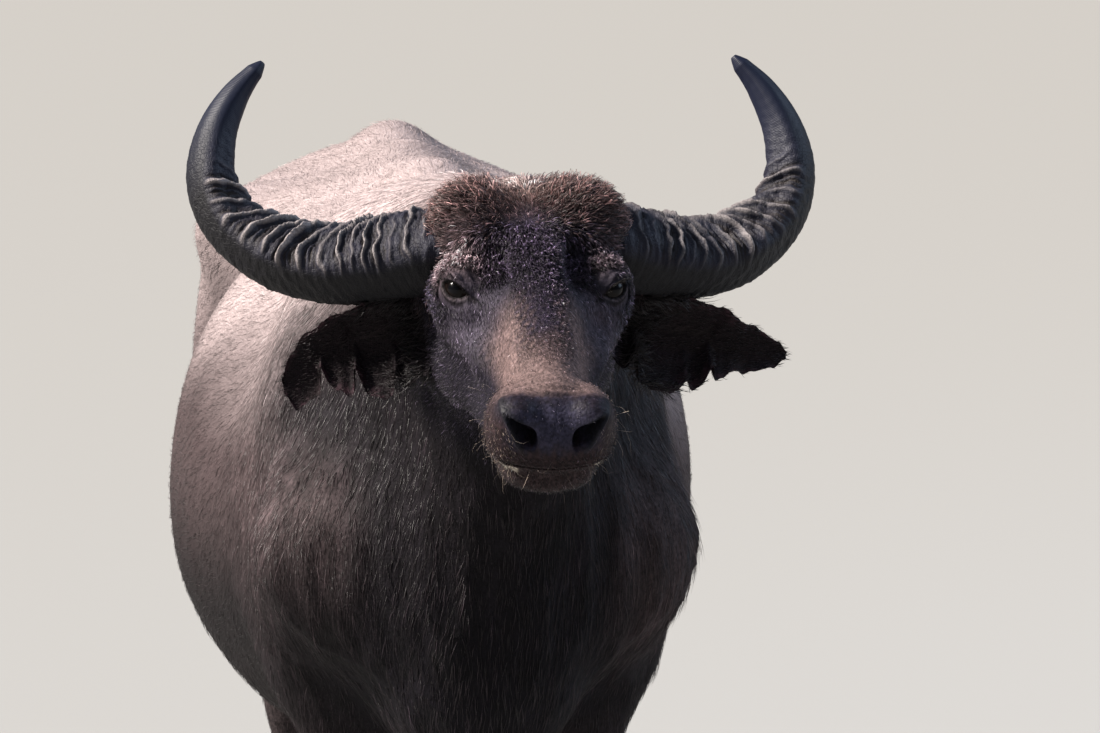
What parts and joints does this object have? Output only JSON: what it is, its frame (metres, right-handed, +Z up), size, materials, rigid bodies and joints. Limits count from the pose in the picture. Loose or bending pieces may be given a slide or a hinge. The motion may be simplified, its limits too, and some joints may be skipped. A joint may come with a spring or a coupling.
{
  "type": "water buffalo",
  "caption": "Life-size standing water buffalo with ridged crescent horns, torn cupped ears, cloven hooves and a tufted tail, one still solid per body part.",
  "frame": {"origin": "on the floor, under the middle of the whole animal", "axes": "+Z up, -Y the way the animal faces, +X its left side"},
  "size_m": [0.7798, 2.1828, 1.5707],
  "materials": {
    "hide": "matt dark skin under short sparse hair",
    "horn": "ridged dark slate keratin with worn lighter ridges",
    "hoof": "dull black-grey keratin",
    "eye": "wet, very dark brown",
    "hair": "coarse black-brown hair"
  },
  "bodies": {
    "root": {"torso": "hide", "neck": "hide", "head": "hide", "eye_left": "eye", "horn_left": "horn", "ear_left": "hide", "eye_right": "eye", "horn_right": "horn", "ear_right": "hide", "foreleg_left": "hide", "foreleg_left_claw_inner": "hoof", "foreleg_left_dewclaw_inner": "hoof", "foreleg_left_claw_outer": "hoof", "foreleg_left_dewclaw_outer": "hoof", "foreleg_right": "hide", "foreleg_right_claw_inner": "hoof", "foreleg_right_dewclaw_inner": "hoof", "foreleg_right_claw_outer": "hoof", "foreleg_right_dewclaw_outer": "hoof", "hindleg_left": "hide", "hindleg_left_claw_inner": "hoof", "hindleg_left_dewclaw_inner": "hoof", "hindleg_left_claw_outer": "hoof", "hindleg_left_dewclaw_outer": "hoof", "hindleg_right": "hide", "hindleg_right_claw_inner": "hoof", "hindleg_right_dewclaw_inner": "hoof", "hindleg_right_claw_outer": "hoof", "hindleg_right_dewclaw_outer": "hoof", "tail": "hide", "tail_switch": "hair"}
  },
  "joints": []
}
